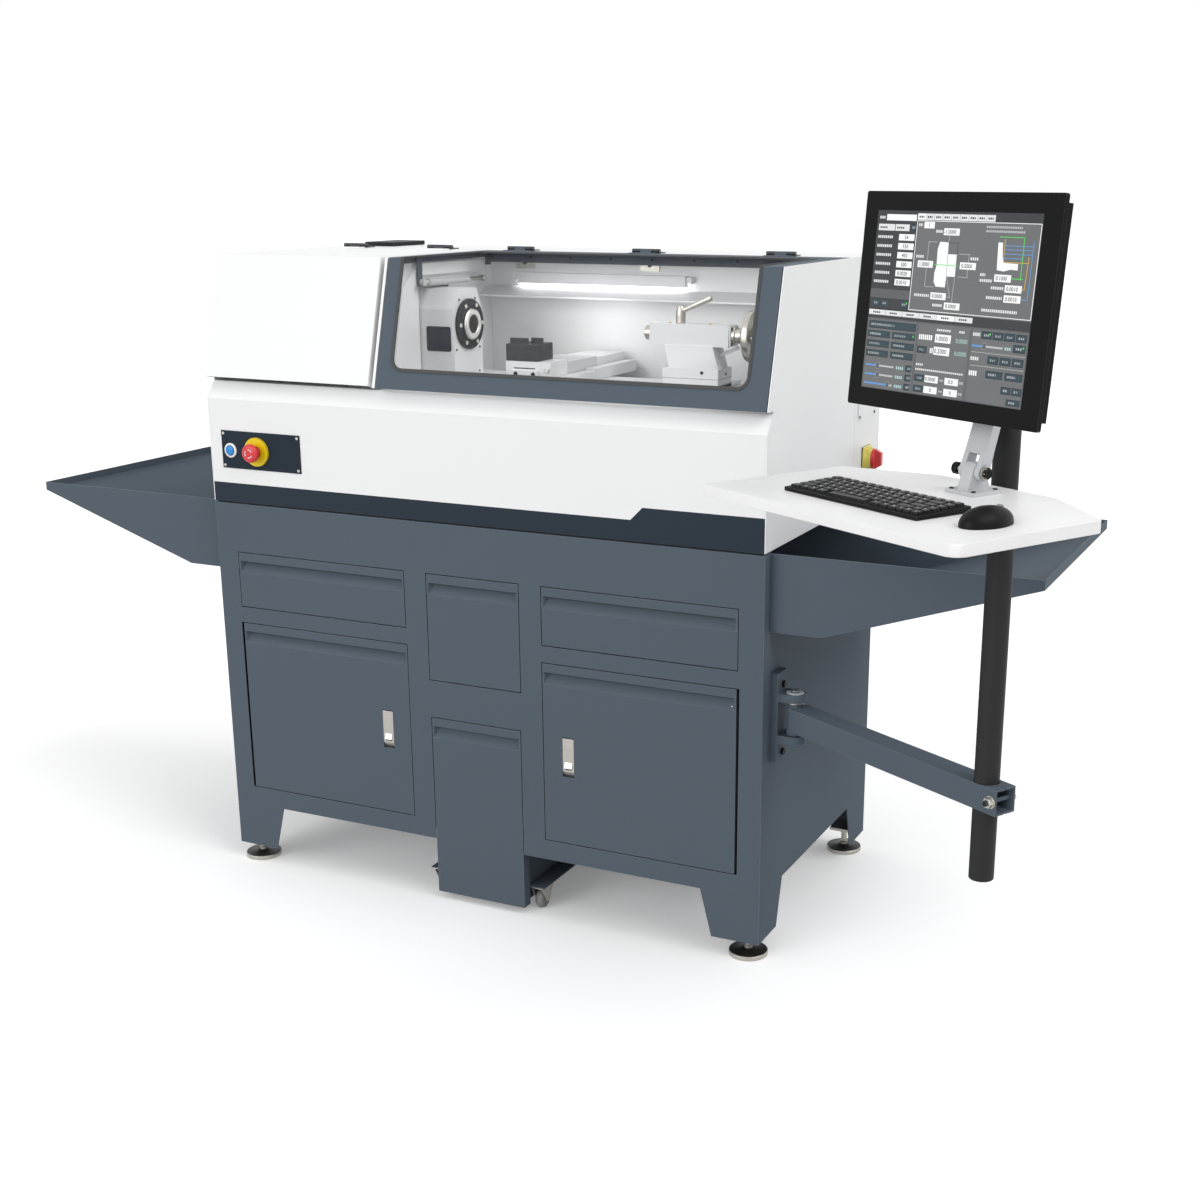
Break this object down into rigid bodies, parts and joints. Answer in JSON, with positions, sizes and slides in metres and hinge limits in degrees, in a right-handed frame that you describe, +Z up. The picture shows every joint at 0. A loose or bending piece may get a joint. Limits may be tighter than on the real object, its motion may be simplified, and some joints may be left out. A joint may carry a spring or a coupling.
{
  "type": "cnc turning lathe with stand and operator arm",
  "caption": "Enclosed bench lathe on a steel cabinet stand with chip tray and coolant tank; a swinging arm carries desk and monitor.",
  "frame": {"origin": "on the floor, under the middle of the front left levelling foot", "axes": "+X to the right as the operator sees it, along the spindle from headstock to tailstock; +Y to the back; +Z up"},
  "size_m": [2.415, 1.3168, 1.4514],
  "materials": {
    "panel_front": "semi-gloss blue-grey paint",
    "panel_white": "semi-gloss white paint",
    "panel_dark": "satin dark grey paint",
    "steel": "brushed",
    "iron_white": "painted casting",
    "iron": "ground",
    "black_plastic": "matt",
    "grey_plastic": "matt",
    "red_plastic": "gloss",
    "blue_plastic": "gloss",
    "yellow_plastic": "gloss",
    "clear": "clear",
    "rubber": "matt",
    "display": "glossy",
    "steel_bright": "polished",
    "black_steel": "satin black"
  },
  "bodies": {
    "machine": {"stand_front": "panel_front", "stand_sides": "panel_front", "stand_back": "panel_front", "bay_liners": "panel_front", "levelling_feet": "black_steel", "chip_tray": "panel_front", "front_panel": "panel_white", "side_panels": "panel_white", "rear_cabinet": "panel_white", "divider": "panel_white", "back_splash": "panel_white", "light_bar": "panel_dark", "roof_hinges": "black_steel", "control_plate": "black_plastic", "switch_body": "yellow_plastic", "bed": "iron", "headstock": "iron_white", "bearing_cap": "black_steel", "drive_belt": "rubber", "spindle_motor": "panel_dark", "arm_bracket": "panel_dark"},
    "left_drawer": {"left_drawer": "panel_front"},
    "centre_drawer": {"centre_drawer": "panel_front"},
    "right_drawer": {"right_drawer": "panel_front"},
    "left_door": {"left_door": "panel_front"},
    "right_door": {"right_door": "panel_front"},
    "left_latch": {"left_latch": "steel"},
    "right_latch": {"right_latch": "steel"},
    "coolant_tank": {"coolant_tank": "panel_front", "coolant_pump": "panel_dark", "casters": "steel"},
    "estop_button": {"estop_button": "red_plastic"},
    "reset_button": {"reset_button": "blue_plastic"},
    "switch_knob": {"switch_knob": "red_plastic"},
    "headstock_cover": {"headstock_cover": "panel_white"},
    "window_cover": {"window_frame": "panel_front", "window_pane": "clear", "window_seal": "rubber"},
    "strut_rod": {"strut_rod": "steel_bright"},
    "strut_tube": {"strut_tube": "black_steel"},
    "spindle": {"spindle": "steel"},
    "motor_pulley": {"motor_pulley": "steel"},
    "saddle": {"saddle": "iron_white"},
    "z_screw": {"z_screw": "steel"},
    "cross_slide": {"cross_slide": "iron_white", "way_cover": "steel", "tool_block": "iron_white"},
    "tailstock": {"tailstock": "iron_white"},
    "quill": {"quill": "steel"},
    "handwheel": {"handwheel": "steel"},
    "clamp_lever": {"clamp_lever": "black_steel"},
    "swing_arm": {"swing_arm": "panel_dark"},
    "post": {"post": "panel_dark", "desk": "grey_plastic", "keyboard": "black_plastic", "mouse": "black_plastic", "monitor_base": "panel_dark"},
    "monitor_link": {"monitor_link": "panel_dark"},
    "monitor": {"monitor_case": "black_plastic", "screen": "display"}
  },
  "joints": [
    {"name": "left_drawer_slide", "type": "slide", "parent": "machine", "child": "left_drawer", "axis": [0, -1, 0], "range_m": [0, 0.45]},
    {"name": "centre_drawer_slide", "type": "slide", "parent": "machine", "child": "centre_drawer", "axis": [0, -1, 0], "range_m": [0, 0.45]},
    {"name": "right_drawer_slide", "type": "slide", "parent": "machine", "child": "right_drawer", "axis": [0, -1, 0], "range_m": [0, 0.45]},
    {"name": "left_door_hinge", "type": "hinge", "parent": "machine", "child": "left_door", "pos_m": [0.023, -0.025, 0.366], "axis": [0, 0, -1], "range_deg": [0, 90]},
    {"name": "right_door_hinge", "type": "hinge", "parent": "machine", "child": "right_door", "pos_m": [1.159, -0.025, 0.366], "axis": [0, 0, 1], "range_deg": [0, 90]},
    {"name": "left_latch_hinge", "type": "hinge", "parent": "left_door", "child": "left_latch", "pos_m": [0.378, -0.03, 0.401], "axis": [-1, 0, 0], "range_deg": [0, 30], "stiffness_Nm_per_rad": 0.1},
    {"name": "right_latch_hinge", "type": "hinge", "parent": "right_door", "child": "right_latch", "pos_m": [0.804, -0.03, 0.401], "axis": [-1, 0, 0], "range_deg": [0, 30], "stiffness_Nm_per_rad": 0.1},
    {"name": "tank_slide", "type": "slide", "parent": "machine", "child": "coolant_tank", "axis": [0, -1, 0], "range_m": [0, 0.45]},
    {"name": "estop_push", "type": "slide", "parent": "machine", "child": "estop_button", "axis": [0, 1, 0], "range_m": [0, 0.005]},
    {"name": "reset_push", "type": "slide", "parent": "machine", "child": "reset_button", "axis": [0, 1, 0], "range_m": [0, 0.0025], "stiffness_N_per_m": 400},
    {"name": "switch_turn", "type": "hinge", "parent": "machine", "child": "switch_knob", "pos_m": [1.2333, 0.533, 0.9075], "axis": [1, 0, 0], "range_deg": [0, 90]},
    {"name": "headstock_cover_hinge", "type": "hinge", "parent": "machine", "child": "headstock_cover", "pos_m": [0.167, 0.41, 1.3256], "axis": [-1, 0, 0], "range_deg": [0, 80]},
    {"name": "window_cover_hinge", "type": "hinge", "parent": "machine", "child": "window_cover", "pos_m": [0.799, 0.41, 1.3256], "axis": [-1, 0, 0], "range_deg": [0, 75]},
    {"name": "strut_swing", "type": "hinge", "parent": "machine", "child": "strut_rod", "pos_m": [0.401, 0.364, 1.265], "axis": [-1, 0, 0], "range_deg": [0, 75.21]},
    {"name": "strut_extend", "type": "slide", "parent": "strut_rod", "child": "strut_tube", "axis": [0, -0.9999, 0.0129], "range_m": [0, 0.09312]},
    {"name": "spindle_turn", "type": "hinge", "parent": "machine", "child": "spindle", "pos_m": [0.316, 0.198, 1.183], "axis": [1, 0, 0], "continuous": true},
    {"name": "motor_turn", "type": "hinge", "parent": "machine", "child": "motor_pulley", "pos_m": [0.186, 0.198, 0.92], "axis": [1, 0, 0], "continuous": true},
    {"name": "saddle_slide", "type": "slide", "parent": "machine", "child": "saddle", "axis": [1, 0, 0], "range_m": [-0.13, 0.06]},
    {"name": "z_screw_turn", "type": "hinge", "parent": "machine", "child": "z_screw", "pos_m": [0.766, 0.201, 1.055], "axis": [1, 0, 0], "range_deg": [-9400, 4360]},
    {"name": "cross_slide_slide", "type": "slide", "parent": "saddle", "child": "cross_slide", "axis": [0, 1, 0], "range_m": [-0.045, 0.045]},
    {"name": "tailstock_slide", "type": "slide", "parent": "machine", "child": "tailstock", "axis": [1, 0, 0], "range_m": [-0.1, 0.06]},
    {"name": "quill_slide", "type": "slide", "parent": "tailstock", "child": "quill", "axis": [-1, 0, 0], "range_m": [0, 0.06]},
    {"name": "handwheel_turn", "type": "hinge", "parent": "tailstock", "child": "handwheel", "pos_m": [1.075, 0.198, 1.181], "axis": [1, 0, 0], "range_deg": [0, 5405]},
    {"name": "clamp_lever_turn", "type": "hinge", "parent": "tailstock", "child": "clamp_lever", "pos_m": [0.942, 0.198, 1.21], "axis": [0, 0, 1], "range_deg": [0, 75]},
    {"name": "swing_arm_hinge", "type": "hinge", "parent": "machine", "child": "swing_arm", "pos_m": [1.257, 0.029, 0.494], "axis": [0, 0, 1], "range_deg": [-58, 20]},
    {"name": "post_turn", "type": "hinge", "parent": "swing_arm", "child": "post", "pos_m": [1.68568, -0.2185, 0.494], "axis": [0, 0, 1], "range_deg": [-30, 60]},
    {"name": "monitor_link_hinge", "type": "hinge", "parent": "post", "child": "monitor_link", "pos_m": [1.66166, -0.3201, 1.046], "axis": [0.866, -0.5, 0], "range_deg": [-5, 15]},
    {"name": "monitor_tilt", "type": "hinge", "parent": "monitor_link", "child": "monitor", "pos_m": [1.68572, -0.27844, 1.1986], "axis": [0.866, -0.5, 0], "range_deg": [-10, 10]}
  ],
  "couplings": [
    {"joint": "strut_swing", "follows": "window_cover_hinge", "ratio": 0.99607},
    {"joint": "strut_extend", "follows": "window_cover_hinge", "m_per_rad": 0.070756},
    {"joint": "motor_turn", "follows": "spindle_turn", "ratio": 1.6122},
    {"joint": "z_screw_turn", "follows": "saddle_slide", "rad_per_m": 1256.6},
    {"joint": "handwheel_turn", "follows": "quill_slide", "rad_per_m": 1570.8}
  ]
}
